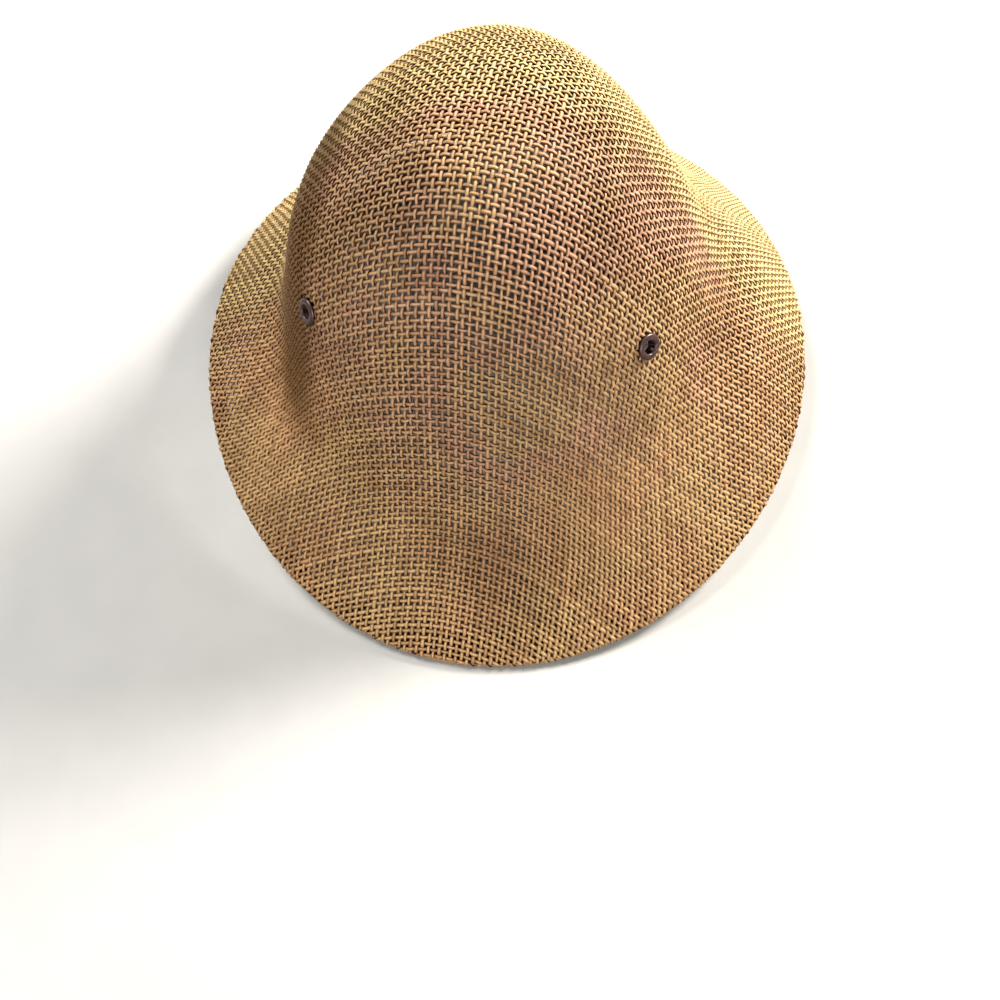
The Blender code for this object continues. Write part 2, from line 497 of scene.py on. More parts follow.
@dataclass
class HelmetForm:
    """Smooth outer surface of the moulded shell, read from its CAD solid along spokes from the crown's centre.

    In its methods x and y are places across and along the helmet, seen from above.
    """

    shell_node: str = "shell"
    eyelet_nodes: tuple[str, ...] = ("eyelet_left", "eyelet_right")
    spokes: int = 72
    rings: int = 64
    edge_reach: float = 0.992
    outer_rings: int = 14
    slope_rings: int = 4
    ray_height: float = 0.05
    hole_margin: float = 0.0045
    slope_step: float = 0.0003
    softenings: int = 2
    hair: float = 0.001
    dents: tuple[Dent, ...] = (
        Dent(-0.045, 0.038, 0.010, 0.0016),
        Dent(-0.057, 0.018, 0.010, -0.0010),
        Dent(0.000, -0.004, 0.020, 0.0013),
        Dent(-0.012, -0.032, 0.015, -0.0012),
        Dent(0.040, -0.012, 0.014, 0.0015),
        Dent(0.032, 0.056, 0.014, -0.0011),
        Dent(0.005, 0.070, 0.010, 0.0013),
        Dent(-0.028, 0.076, 0.015, -0.0013),
        Dent(-0.090, 0.022, 0.014, 0.0012),
        Dent(0.052, 0.090, 0.018, 0.0013),
        Dent(-0.048, 0.104, 0.020, 0.0011),
        Dent(0.104, 0.004, 0.015, -0.0010),
    )
    centre: Array = field(init=False)
    half_width: float = field(init=False)
    back: float = field(init=False)
    front: float = field(init=False)
    heights: Array = field(init=False)

    def __post_init__(self) -> None:
        """Read the shell's place and sample its outer surface."""
        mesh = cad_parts[self.shell_node].data
        points = np.array([vertex.co for vertex in mesh.vertices])
        low, high = points.min(0), points.max(0)
        sides = points[[points[:, 0].argmin(), points[:, 0].argmax()]]
        self.centre = sides[:, :2].mean(0)
        self.half_width = (high[0] - low[0]) / 2.0
        self.back = high[1] - self.centre[1]
        self.front = self.centre[1] - low[1]
        polygons = [tuple(polygon.vertices) for polygon in mesh.polygons]
        tree = BVHTree.FromPolygons([tuple(point) for point in points], polygons)
        self._sample(tree, high[2] + self.ray_height)

    def _sample(self, tree: BVHTree, above: float) -> None:
        """Cast rays straight down along the spokes, mend what the eyelet holes leave, and smooth the facets.

        Args:
            tree: The shell's faces.
            above: Height that the rays start from.
        """
        grid = np.full((self.spokes, self.rings + 1), np.nan)
        holes = [sum(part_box(name), Vector()) / 2.0 for name in self.eyelet_nodes]
        for row, angle in enumerate(round_angles(self.spokes)):
            depth = float(self.depth(math.sin(angle)))
            for column, reach in enumerate(np.linspace(0.0, self.edge_reach, self.rings + 1)):
                x = self.centre[0] + reach * self.half_width * math.cos(angle)
                y = self.centre[1] + reach * depth * math.sin(angle)
                if any(math.hypot(x - hole.x, y - hole.y) < self.hole_margin for hole in holes):
                    continue
                hit = tree.ray_cast(Vector((x, y, above)), Vector((0.0, 0.0, -1.0)))[0]
                if hit is not None:
                    grid[row, column] = hit.z
        near = np.roll(grid, 1, 0) + np.roll(grid, -1, 0)
        far = np.roll(grid, 2, 0) + np.roll(grid, -2, 0)
        grid = np.where(np.isnan(grid), (4.0 * near - far) / 6.0, grid)
        for _ in range(self.softenings):
            grid[:, 1:-1] = (grid[:, :-2] + 2.0 * grid[:, 1:-1] + grid[:, 2:]) / 4.0
        slope = (grid[:, -2] - grid[:, -2 - self.slope_rings]) / self.slope_rings
        beyond = grid[:, -1:] + slope[:, None] * np.arange(1, self.outer_rings + 1)
        before = np.roll(grid[:, 1:2], self.spokes // 2, 0)
        self.heights = np.hstack([before, grid, beyond])

    def depth(self, along: Array | float) -> Array:
        """Depth of the half that a place lies in, from the centre: back, or front where along is negative."""
        return np.where(np.asarray(along) >= 0.0, self.back, self.front)

    def _scaled(self, x: Array, y: Array) -> tuple[Array, Array]:
        """Offsets from the centre, as shares of the helmet's half width and of its depth."""
        return (x - self.centre[0]) / self.half_width, (y - self.centre[1]) / self.depth(y - self.centre[1])

    def reach(self, x: Array, y: Array) -> Array:
        """Share of the way from the crown's centre to the brim's edge, 1 at the edge."""
        return np.hypot(*self._scaled(x, y))

    def height(self, x: Array, y: Array) -> Array:
        """Height of the outer surface, carried straight on past the edge.

        Args:
            x: Places across the helmet.
            y: Places along the helmet.

        Returns:
            The heights.
        """
        across, along = self._scaled(x, y)
        spoke = np.nan_to_num(np.arctan2(along, across) / (2.0 * math.pi) * self.spokes) % self.spokes
        ring = np.nan_to_num(np.hypot(across, along)) / self.edge_reach * self.rings
        ring = np.clip(ring, 0.0, self.rings + self.outer_rings - 2 - self.hair)
        first_spoke = np.floor(spoke).astype(int)
        first_ring = np.floor(ring).astype(int)
        ring_shares = self._shares(ring - first_ring)
        total = 0.0
        for i, spoke_share in enumerate(self._shares(spoke - first_spoke)):
            row = (first_spoke + i - 1) % self.spokes
            for j, ring_share in enumerate(ring_shares):
                total = total + spoke_share * ring_share * self.heights[row, first_ring + j]
        for dent in self.dents:
            away = ((x - dent.across) ** 2 + (y - dent.along) ** 2) / dent.radius ** 2
            total = total - dent.depth * np.exp(-away)
        return total

    @staticmethod
    def _shares(part: Array) -> tuple[Array, ...]:
        """Shares of four samples in a smooth curve, part of the way from the second to the third."""
        square, cube = part ** 2, part ** 3
        return (
            (-part + 2.0 * square - cube) / 2.0,
            (2.0 - 5.0 * square + 3.0 * cube) / 2.0,
            (part + 4.0 * square - 3.0 * cube) / 2.0,
            (cube - square) / 2.0,
        )

    def slopes(self, x: Array, y: Array) -> tuple[Array, Array]:
        """Slope of the surface across and along the helmet.

        Args:
            x: Places across the helmet.
            y: Places along the helmet.

        Returns:
            The two slopes.
        """
        step = self.slope_step
        across = (self.height(x + step, y) - self.height(x - step, y)) / (2.0 * step)
        along = (self.height(x, y + step) - self.height(x, y - step)) / (2.0 * step)
        return across, along

    def point(self, x: Array, y: Array) -> Array:
        """Points of the outer surface above the given places."""
        return np.stack([x, y, self.height(x, y)], -1)

    def normal(self, x: Array, y: Array) -> Array:
        """Unit outward normals of the outer surface at the given places."""
        across, along = self.slopes(x, y)
        return unit(np.stack([-across, -along, np.ones_like(across)], -1))


@dataclass
class BrimFold:
    """Lays the flat cloth on the form and turns it in round the brim's edge.

    In its methods x and y are places of the cloth across and along the helmet, before it is turned in.
    """

    form: HelmetForm
    sink: float = 0.0008
    radius: float = 0.0008
    inset: float = 0.0001
    hem_width: float = 0.0078
    slope_run: float = 0.003

    @property
    def apex(self) -> float:
        """Distance past the fold's start at which the cloth stands at the outermost point."""
        return QUARTER * self.radius

    @property
    def end(self) -> float:
        """Distance past the fold's start at which the hem's raw edge lies."""
        return math.pi * self.radius + self.hem_width

    def _ray(self, x: Array, y: Array) -> tuple[Array, Array, Array]:
        """Direction and length of the line from the crown's centre through each place.

        Args:
            x: Places across the helmet.
            y: Places along the helmet.

        Returns:
            Unit directions seen from above, radii of the places, and radii at which the fold starts.
        """
        least = 1e-9
        offset = np.stack([x - self.form.centre[0], y - self.form.centre[1]], -1)
        radius = np.maximum(np.hypot(offset[..., 0], offset[..., 1]), least)
        start = radius / np.maximum(self.form.reach(x, y), least) - self.inset
        return offset / radius[..., None], radius, start

    def _on_ray(self, direction: Array, radius: Array) -> tuple[Array, Array]:
        """Places at given radii along the directions."""
        place = self.form.centre + direction * radius[..., None]
        return place[..., 0], place[..., 1]

    def _stretch(self, direction: Array, start: Array) -> Array:
        """Length along the surface for each unit of radius, near the edge.

        Args:
            direction: Unit directions seen from above.
            start: Radii at which the fold starts.

        Returns:
            The ratio of lengths, 1 or more.
        """
        outer = self.form.height(*self._on_ray(direction, start))
        inner = self.form.height(*self._on_ray(direction, start - self.slope_run))
        return np.hypot(1.0, (outer - inner) / self.slope_run)

    def past_start(self, x: Array, y: Array) -> Array:
        """Distance in metres past the line where the fold starts, negative inside it."""
        direction, radius, start = self._ray(x, y)
        return (radius - start) * self._stretch(direction, start)

    def outermost(self, steps: int) -> tuple[Array, Array]:
        """Places of the cloth that stand outermost once it is turned in.

        Args:
            steps: Number of steps round the brim; the last place is the first again.

        Returns:
            Places across and along the helmet.
        """
        form = self.form
        angle = np.linspace(0.0, 2.0 * math.pi, steps + 1)
        x = form.centre[0] + form.half_width * np.cos(angle)
        y = form.centre[1] + form.depth(np.sin(angle)) * np.sin(angle)
        direction, _, start = self._ray(x, y)
        return self._on_ray(direction, start + self.apex / self._stretch(direction, start))

    def place(self, x: Array, y: Array, lift: Array) -> Array:
        """Put points of the cloth in space.

        Args:
            x: Places across the helmet.
            y: Places along the helmet.
            lift: Distances from the cloth's middle, towards its outer face.

        Returns:
            The points in space.
        """
        form = self.form
        lift = lift[..., None]
        direction, radius, start = self._ray(x, y)
        stretch = self._stretch(direction, start)
        past = (radius - start) * stretch
        on_top = form.point(x, y) + form.normal(x, y) * (lift - self.sink)
        edge = self._on_ray(direction, start)
        normal = form.normal(*edge)
        radial = np.concatenate([direction, np.zeros_like(direction[..., :1])], -1)
        outward = unit(radial - normal * (radial * normal).sum(-1, keepdims=True))
        turn = np.clip(past / self.radius, 0.0, math.pi)[..., None]
        pivot = form.point(*edge) - normal * (self.sink + self.radius)
        turned = pivot + (normal * np.cos(turn) + outward * np.sin(turn)) * (self.radius + lift)
        inward = np.maximum(past - math.pi * self.radius, 0.0) / stretch
        under = self._on_ray(direction, start - inward)
        beneath = form.point(*under) - form.normal(*under) * (self.sink + 2.0 * self.radius + lift)
        beyond = (past > math.pi * self.radius)[..., None]
        return np.where((past <= 0.0)[..., None], on_top, np.where(beyond, beneath, turned))


class Spacing(NamedTuple):
    """Distance between two neighbouring strands at some count of strands from the middle of the cloth."""

    strands: float
    pitch: float


@dataclass(frozen=True)
class Axis:
    """The strand through the crown's centre, followed to both sides, and the spacing of the strands it crosses."""

    heading: float
    bend: float
    forward: tuple[Spacing, ...]
    backward: tuple[Spacing, ...]

    def steps(self, sign: int, count: int) -> Array:
        """Distances on the surface between crossings, followed forward where sign is 1, backward where -1."""
        strands, pitches = zip(*(self.forward if sign > 0 else self.backward))
        return np.interp(np.arange(count), strands, pitches)

    def direction(self, sign: int, number: int) -> Array:
        """Unit direction, seen from above, of one step."""
        angle = math.radians(self.heading + sign * self.bend * number)
        return sign * np.array([math.cos(angle), math.sin(angle)])


def smooth_noise(random: Random, shape: tuple[int, int], axis: int, spread: float) -> Array:
    """Noise of unit strength that is smooth along one axis.

    Args:
        random: Source of the noise.
        shape: Size of the result.
        axis: Axis along which the noise is smooth.
        spread: Width of the smoothing, in samples.

    Returns:
        The noise.
    """
    reach = np.arange(-int(3 * spread), int(3 * spread) + 1)
    kernel = np.exp(-0.5 * (reach / spread) ** 2)
    kernel /= math.sqrt((kernel ** 2).sum())
    noise = random.normal(size=shape)
    return np.apply_along_axis(lambda line: np.convolve(line, kernel, "same"), axis, noise)


class Unevenness(NamedTuple):
    """How a family of strands varies: length and strength of the swings along a strand, and from strand to strand."""

    spread: float
    along: float
    between: float

    def draw(self, random: Random, shape: tuple[int, int], axis: int) -> Array:
        """Draw the variation of a family.

        Args:
            random: Source of the variation.
            shape: Size of the result.
            axis: Axis that runs along the strands.

        Returns:
            The variation, round 0.
        """
        swings = smooth_noise(random, shape, axis, self.spread) * self.along
        steady = random.normal(0.0, self.between, shape[1 - axis])
        return swings + (steady[None, :] if axis == 0 else steady[:, None])


@dataclass
class FabricNet:
    """Crossings of a plain weave whose strands keep their spacing while the cloth shears over the form."""

    form: HelmetForm
    fold: BrimFold
    across: Axis = Axis(
        175.4, 0.15,
        (Spacing(0, 0.00250), Spacing(15, 0.00275), Spacing(30, 0.00300), Spacing(55, 0.00330)),
        (Spacing(0, 0.00250), Spacing(15, 0.00295), Spacing(30, 0.00320), Spacing(55, 0.00335)))
    along: Axis = Axis(
        85.0, 0.0,
        (Spacing(0, 0.00245), Spacing(20, 0.00265), Spacing(40, 0.00280)),
        (Spacing(0, 0.00245), Spacing(20, 0.00270), Spacing(40, 0.00280)))
    count: int = 110
    spare: float = 0.006
    step_fits: int = 6
    newton_steps: int = 4
    wander: float = 0.00011
    wandering: Unevenness = Unevenness(5.0, 0.8, 0.7)
    seed: int = 20
    places: Array = field(init=False)

    def __post_init__(self) -> None:
        """Solve the net, then let the strands wander a little."""
        size = 2 * self.count + 1
        self.places = np.full((size, size, 2), np.nan)
        signs = ((1, 1), (-1, 1), (1, -1), (-1, -1))
        quarters = np.full((4, self.count + 1, self.count + 1, 2), np.nan)
        for quarter, (i, j) in enumerate(signs):
            quarters[quarter, :, 0] = self._follow(self.across, i)
            quarters[quarter, 0, :] = self._follow(self.along, j)
        self._solve(quarters, np.array([self.across.steps(i, self.count) for i, _ in signs]),
                    np.array([self.along.steps(j, self.count) for _, j in signs]))
        steps = np.arange(self.count + 1)
        for quarter, (i, j) in enumerate(signs):
            self.places[np.ix_(self.count + i * steps, self.count + j * steps)] = quarters[quarter]
        self._wander()

    def _follow(self, axis: Axis, sign: int) -> Array:
        """Crossings of the strand that leaves the crown's centre in one direction.

        Args:
            axis: The strand.
            sign: 1 to follow it forward, -1 to follow it backward.

        Returns:
            Places of the crossings.
        """
        places = [self.form.centre.copy()]
        for number, length in enumerate(axis.steps(sign, self.count)):
            here, direction, step = places[-1], axis.direction(sign, number), length
            for _ in range(self.step_fits):
                ahead = here + direction * step
                rise = self.form.height(ahead[:1], ahead[1:])[0] - self.form.height(here[:1], here[1:])[0]
                step *= length / math.hypot(step, rise)
            places.append(here + direction * step)
        return np.array(places)

    def _solve(self, quarters: Array, across_steps: Array, along_steps: Array) -> None:
        """Fill the four quarters of the net, one diagonal after another.

        Args:
            quarters: Places of the crossings, with the two axes filled in; the rest is written.
            across_steps: Distances between neighbours across the cloth, for each quarter.
            along_steps: Distances between neighbours along the cloth, for each quarter.
        """
        form, limit = self.form, self.fold.end + self.spare
        for total in range(2, 2 * self.count + 1):
            i = np.arange(max(1, total - self.count), min(self.count, total - 1) + 1)
            j = total - i
            side, other, corner = quarters[:, i - 1, j], quarters[:, i, j - 1], quarters[:, i - 1, j - 1]
            known = np.isfinite(side[..., 0] + other[..., 0] + corner[..., 0])
            if not known.any():
                continue
            sides = ((side, form.height(side[..., 0], side[..., 1]), across_steps[:, i - 1]),
                     (other, form.height(other[..., 0], other[..., 1]), along_steps[:, j - 1]))
            guess = np.where(known[..., None], side + other - corner, form.centre)
            for _ in range(self.newton_steps):
                guess = self._improve(guess, sides)
            past = self.fold.past_start(guess[..., 0], guess[..., 1])
            quarters[:, i, j] = np.where((known & (past < limit))[..., None], guess, np.nan)

    def _improve(self, guess: Array, sides: tuple) -> Array:
        """One Newton step towards the place that is the right distance away from two neighbours.

        Args:
            guess: Places seen from above.
            sides: For each family, the neighbours' places, their heights, and the distances to them.

        Returns:
            Better places.
        """
        height = self.form.height(guess[..., 0], guess[..., 1])
        across, along = self.form.slopes(guess[..., 0], guess[..., 1])
        rows = []
        for place, level, length in sides:
            plan, rise = np.nan_to_num(guess - place), np.nan_to_num(height - level)
            miss = (plan ** 2).sum(-1) + rise ** 2 - length ** 2
            rows.append((2.0 * (plan[..., 0] + rise * across), 2.0 * (plan[..., 1] + rise * along), miss))
        (a, b, first), (c, d, second) = rows
        spread = a * d - b * c
        least = 1e-9
        spread = np.where(np.abs(spread) < least, least, spread)
        move = np.stack([(first * d - second * b) / spread, (second * a - first * c) / spread], -1)
        longest = float(sides[0][2].max())
        return guess - np.clip(move, -longest, longest)

    def _wander(self) -> None:
        """Shift whole strands and stretches of them sideways, as on hand-moulded cloth."""
        random = np.random.default_rng(self.seed)
        shape = self.places.shape[:2]
        shifts = [self.wander * self.wandering.draw(random, shape, axis)[..., None] for axis in (0, 1)]
        across, along = np.gradient(self.places, axis=(0, 1))
        self.places = self.places + unit(across) * shifts[1] + unit(along) * shifts[0]


@dataclass
class EyeletSeat:
    """Place and sizes of one eyelet, measured on its CAD node: radii from its axis, and levels along it."""

    node: str
    digits: int = 7
    near_radius: float = 0.99
    past_bore: float = 1.05
    seat_gap: float = 0.0005
    half_length: float = 0.008
    centre: Array = field(init=False)
    axis: Array = field(init=False)
    bore: float = field(init=False)
    barrel: float = field(init=False)
    flange: float = field(init=False)
    washer: float = field(init=False)
    top: float = field(init=False)
    seat: float = field(init=False)
    under: float = field(init=False)
    bottom: float = field(init=False)

    def __post_init__(self) -> None:
        """Find the eyelet's axis, its radii and its levels."""
        points = np.array([vertex.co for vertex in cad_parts[self.node].data.vertices])
        points = np.unique(points.round(self.digits), axis=0)
        values, vectors = np.linalg.eigh(np.cov((points - points.mean(0)).T))
        axis = vectors[:, 0 if values[1] - values[0] > values[2] - values[1] else 2]
        self.centre = points.mean(0)
        outward = self.centre * np.array([1.0, 1.0, 0.0])
        self.axis = axis if axis @ outward > 0.0 else -axis
        levels = (points - self.centre) @ self.axis
        radii = np.linalg.norm((points - self.centre) - levels[:, None] * self.axis, axis=1)
        self.bore, self.flange = float(radii.min()), float(radii.max())
        self.top, self.bottom = float(levels.max()), float(levels.min())
        self.seat = float(levels[radii > self.flange * self.near_radius].min())
        under = levels < self.seat - self.seat_gap
        self.washer = float(radii[under].max())
        self.under = float(levels[under & (radii > self.washer * self.near_radius)].max())
        self.barrel = float(radii[radii > self.bore * self.past_bore].min())

    def distance(self, points: Array) -> Array:
        """Distance of points from the eyelet's axis, large for points far along it.

        Args:
            points: Points in space.

        Returns:
            The distances, in metres.
        """
        offset = points - self.centre
        along = offset @ self.axis
        away = np.linalg.norm(offset - along[..., None] * self.axis, axis=-1)
        return np.where(np.abs(along) < self.half_length, away, away + FAR)


def add_object(name: str, data: bpy.types.ID) -> Object:
    """Add an object to the scene.

    Args:
        name: Name of the object.
        data: Its mesh, light or camera.

    Returns:
        The new object.
    """
    piece = bpy.data.objects.new(name, data)
    bpy.context.scene.collection.objects.link(piece)
    return piece


def add_attribute(mesh: bpy.types.Mesh, name: str, values: Array) -> None:
    """Give each vertex of a mesh a number or a vector, for the shaders."""
    kind, key = ("FLOAT", "value") if values.ndim == 1 else ("FLOAT_VECTOR", "vector")
    mesh.attributes.new(name, kind, "POINT").data.foreach_set(key, values.astype(np.float32).ravel())


@dataclass
class StrandMesh:
    """Collects round strands and makes one mesh of them."""

    name: str
    sides: int = 6
    twist_per_pitch: float = 0.55
    fibre_per_pitch: float = 0.22
    points: list = field(default_factory=list)
    tones: list = field(default_factory=list)
    facings: list = field(default_factory=list)
    fibres: list = field(default_factory=list)
    corners: list = field(default_factory=list)
    lengths: list = field(default_factory=list)
    used: int = 0

    def add(self, middle: Array, normal: Array, width: Array, thickness: float,
            tone: Array, along: Array, offset: float) -> None:
        """Add one strand.

        Args:
            middle: Points along its middle.
            normal: Outward directions of the cloth at those points.
            width: Its width at those points.
            thickness: Its thickness through the cloth.
            tone: Its lightness at those points.
            along: Way along the strand, in pitches.
            offset: Number that sets its fibres apart from those of other strands.
        """
        count = len(middle)
        forward = unit(np.gradient(middle, axis=0))
        sideways = unit(np.cross(forward, normal))
        upward = np.cross(sideways, forward)
        turns = round_angles(self.sides) + QUARTER
        ring = (sideways[:, None] * (np.cos(turns)[None, :, None] * width[:, None, None] / 2.0)
                + upward[:, None] * (np.sin(turns)[None, :, None] * thickness / 2.0))
        self.points.append((middle[:, None] + ring).reshape(-1, 3))
        self.tones.append(np.repeat(tone, self.sides))
        # How far each ring corner faces the cloth's outer face; the straw gives corners that face away painted shade.
        self.facings.append(np.tile(np.sin(turns), count))
        angle = turns[None, :] + along[:, None] * self.twist_per_pitch
        run = np.broadcast_to(along[:, None] * self.fibre_per_pitch + offset, angle.shape)
        self.fibres.append(np.stack([np.cos(angle), np.sin(angle), run], -1).reshape(-1, 3))
        side = np.arange(self.sides)
        following = (side + 1) % self.sides
        first = np.arange(count - 1)[:, None] * self.sides + self.used
        quads = np.stack([first + side, first + self.sides + side, first + self.sides + following,
                          first + following], -1)
        last = self.used + (count - 1) * self.sides
        self.corners += [quads.reshape(-1), side + self.used, side[::-1] + last]
        self.lengths += [np.full((count - 1) * self.sides, 4), np.array([self.sides, self.sides])]
        self.used += count * self.sides

    def build(self, material: Material) -> Object:
        """Make the mesh and its object.

        Args:
            material: Finish of the strands.

        Returns:
            The new object.
        """
        mesh = bpy.data.meshes.new(self.name)
        points, corners = np.concatenate(self.points), np.concatenate(self.corners)
        lengths = np.concatenate(self.lengths)
        mesh.vertices.add(len(points))
        mesh.vertices.foreach_set("co", points.astype(np.float32).ravel())
        mesh.loops.add(len(corners))
        mesh.loops.foreach_set("vertex_index", corners.astype(np.int32))
        mesh.polygons.add(len(lengths))
        mesh.polygons.foreach_set("loop_start", (np.cumsum(lengths) - lengths).astype(np.int32))
        mesh.update(calc_edges=True)
        mesh.validate()
        mesh.shade_smooth()
        for name, values in (("tone", self.tones), ("facing", self.facings), ("fibre", self.fibres)):
            add_attribute(mesh, name, np.concatenate(values))
        mesh.materials.append(material)
        return add_object(self.name, mesh)


@dataclass(frozen=True)
class StrandRun:
    """One stretch of strand before it is put in space.

    The table's rows are the places across and along the helmet, the width, the tone, the way along the strand in
    pitches, and the lift from the cloth's middle.
    """

    piece: str
    offset: float
    table: Array


@dataclass
class StrawWeave:
    """The helmet's cloth: two families of strands that pass over and under each other."""

    net: FabricNet
    seats: tuple[EyeletSeat, ...]
    crown_width: float = 0.00144
    brim_width: float = 0.00176
    crown_reach: float = 0.35
    brim_reach: float = 0.70
    thickness: float = 0.00098
    swing: float = 0.00052
    hole_radius: float = 0.0034
    shortest: float = 0.3
    sliver: float = 0.12
    fewest_places: int = 3
    tone_strength: float = 0.24
    tone_variation: Unevenness = Unevenness(9.0, 0.6, 0.4)
    width_variation: Unevenness = Unevenness(4.0, 0.07, 0.06)
    fibre_range: float = 500.0
    middle_strands: int = 20
    edge_steps: int = 900
    edge_width: float = 0.0016
    edge_thickness: float = 0.0008
    edge_spread: float = 6.0
    edge_variation: float = 0.05
    edge_tone: float = 0.5
    seed: int = 7

    def meshes(self) -> dict[str, StrandMesh]:
        """Lay every strand, and sort its stretches into pieces.

        Returns:
            The pieces' meshes by name.
        """
        names = [f"straw_{family.value}_{part}" for family in Family for part in family.parts]
        found = {name: StrandMesh(name) for name in [*names, HEM_PIECE]}
        random = np.random.default_rng(self.seed)
        for family in Family:
            self._lay(family, random, found)
        self._edge(random, found[HEM_PIECE])
        return found

    def _edge(self, random: Random, hem: StrandMesh) -> None:
        """Lay the smooth strand that closes the fold round the brim's edge.

        Args:
            random: Source of the strand's irregularities.
            hem: Mesh that receives the strand.
        """
        fold = self.net.fold
        x, y = fold.outermost(self.edge_steps)
        level = np.zeros(len(x))
        middle = fold.place(x, y, level)
        normal = unit(unit(fold.place(x, y, level + self.swing) - middle) + np.array([0.0, 0.0, 1.0]))
        uneven = smooth_noise(random, (1, len(x)), 1, self.edge_spread)[0]
        width = self.edge_width * (1.0 + self.edge_variation * uneven)
        width[-1] = width[0]
        length = np.concatenate([[0.0], np.cumsum(np.linalg.norm(np.diff(middle, axis=0), axis=1))])
        hem.add(middle, normal, width, self.edge_thickness, self.tone_strength * uneven * self.edge_tone,
                length / (2.0 * self.brim_width), 0.0)

    def _width(self, x: Array, y: Array) -> Array:
        """Width of an even strand, which grows from the crown to the brim."""
        share = (self.net.form.reach(x, y) - self.crown_reach) / (self.brim_reach - self.crown_reach)
        return self.crown_width + (self.brim_width - self.crown_width) * np.clip(share, 0.0, 1.0)

    def _lay(self, family: Family, random: Random, found: dict[str, StrandMesh]) -> None:
        """Lay the strands of one family.

        Args:
            family: The family.
            random: Source of the strands' irregularities.
            found: Meshes by name, which receive the strands.
        """
        net, lengthwise = self.net, family is Family.LENGTHWISE
        places = net.places if lengthwise else net.places.transpose(1, 0, 2)
        shape = (places.shape[0], 2 * places.shape[1] - 1)
        fine = np.full((*shape, 2), np.nan)
        fine[:, ::2] = places
        fine[:, 1::2] = (places[:, :-1] + places[:, 1:]) / 2.0
        x, y = fine[..., 0], fine[..., 1]
        number = np.arange(shape[0]) - net.count
        along = np.arange(shape[1]) / 2.0 - net.count
        past = np.where(np.isfinite(x), net.fold.past_start(x, y), FAR)
        middle = net.fold.place(x, y, np.zeros(shape))
        hole = np.min([seat.distance(middle) for seat in self.seats], axis=0)
        tone = self.tone_strength * self.tone_variation.draw(random, shape, 1)
        width = self._width(x, y) * (1.0 + self.width_variation.draw(random, shape, 1))
        offsets = random.uniform(0.0, self.fibre_range, shape[0])
        known = np.stack([x, y, width, tone])
        runs = []
        for row in range(shape[0]):
            inside = np.flatnonzero(past[row] < FAR)
            if len(inside) < self.fewest_places:
                continue
            keep = slice(inside[0], inside[-1] + 1)
            for layer, stations in self._stretches(along[keep], past[row, keep], hole[row, keep]):
                at = np.stack([np.interp(stations, along[keep], line) for line in known[:, row, keep]])
                over = np.cos(math.pi * (stations + number[row] + (0.0 if lengthwise else 1.0)))
                runs.append(StrandRun(self._piece_name(family, layer, number[row]), offsets[row],
                                      np.vstack([at, stations, self.swing * over])))
        self._place(runs, found)

    def _place(self, runs: list[StrandRun], found: dict[str, StrandMesh]) -> None:
        """Put stretches of strand in space and add them to their pieces.

        Args:
            runs: The stretches.
            found: Meshes by name, which receive the strands.
        """
        fold = self.net.fold
        x, y, width, tone, stations, lift = np.hstack([run.table for run in runs])
        middle = fold.place(x, y, lift)
        normal = unit(fold.place(x, y, lift + self.swing) - middle)
        ends = np.cumsum([run.table.shape[1] for run in runs])
        for run, end in zip(runs, ends):
            part = slice(end - run.table.shape[1], end)
            found[run.piece].add(middle[part], normal[part], width[part], self.thickness, tone[part],
                                 stations[part], run.offset)

    def _piece_name(self, family: Family, layer: Layer, number: int) -> str:
        """Name of the piece that a stretch of strand belongs to.

        Args:
            family: The strand's family.
            layer: Where the stretch lies.
            number: The strand's number from the middle of the cloth.

        Returns:
            The piece's name.
        """
        if layer is Layer.HEM:
            return HEM_PIECE
        first, middle, last = family.parts
        part = middle if abs(number) <= self.middle_strands else last if number > 0 else first
        return f"straw_{family.value}_{part}"

    def _stretches(self, along: Array, past: Array, hole: Array) -> list[tuple[Layer, Array]]:
        """Cut one strand where it enters the hem, where the hem ends and where an eyelet sits.

        Args:
            along: Ways along the strand, in pitches.
            past: Distances past the fold's start.
            hole: Distances from the nearest eyelet's axis.

        Returns:
            Each stretch that is kept: its layer, and its stations along the strand.
        """
        fold = self.net.fold
        cuts = [along[0], along[-1]]
        for level in (past - fold.apex, past - fold.end, hole - self.hole_radius):
            change = np.flatnonzero(level[:-1] * level[1:] < 0.0)
            share = level[change] / (level[change] - level[change + 1])
            cuts += list(along[change] + share * (along[change + 1] - along[change]))
        cuts = sorted(cuts)
        kept = []
        for low, high in zip(cuts[:-1], cuts[1:]):
            middle = (low + high) / 2.0
            here = float(np.interp(middle, along, past))
            clear = float(np.interp(middle, along, hole)) > self.hole_radius
            if high - low < self.shortest or here > fold.end or not clear:
                continue
            between = along[(along > low + self.sliver) & (along < high - self.sliver)]
            layer = Layer.HEM if here > fold.apex else Layer.SHELL
            kept.append((layer, np.concatenate([[low], between, [high]])))
        return kept

    def dress(self, shell_straw: Material, hem_straw: Material) -> list[Object]:
        """Make the cloth's pieces and tie them to the frame.

        Args:
            shell_straw: Finish of the shell's strands.
            hem_straw: Finish of the hem's strands.

        Returns:
            The pieces.
        """
        pieces = []
        for name, strands in self.meshes().items():
            hem = name == HEM_PIECE
            piece = strands.build(hem_straw if hem else shell_straw)
            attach(piece, BODY)
            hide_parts("brim_hem" if hem else "shell")
            pieces.append(piece)
        return pieces


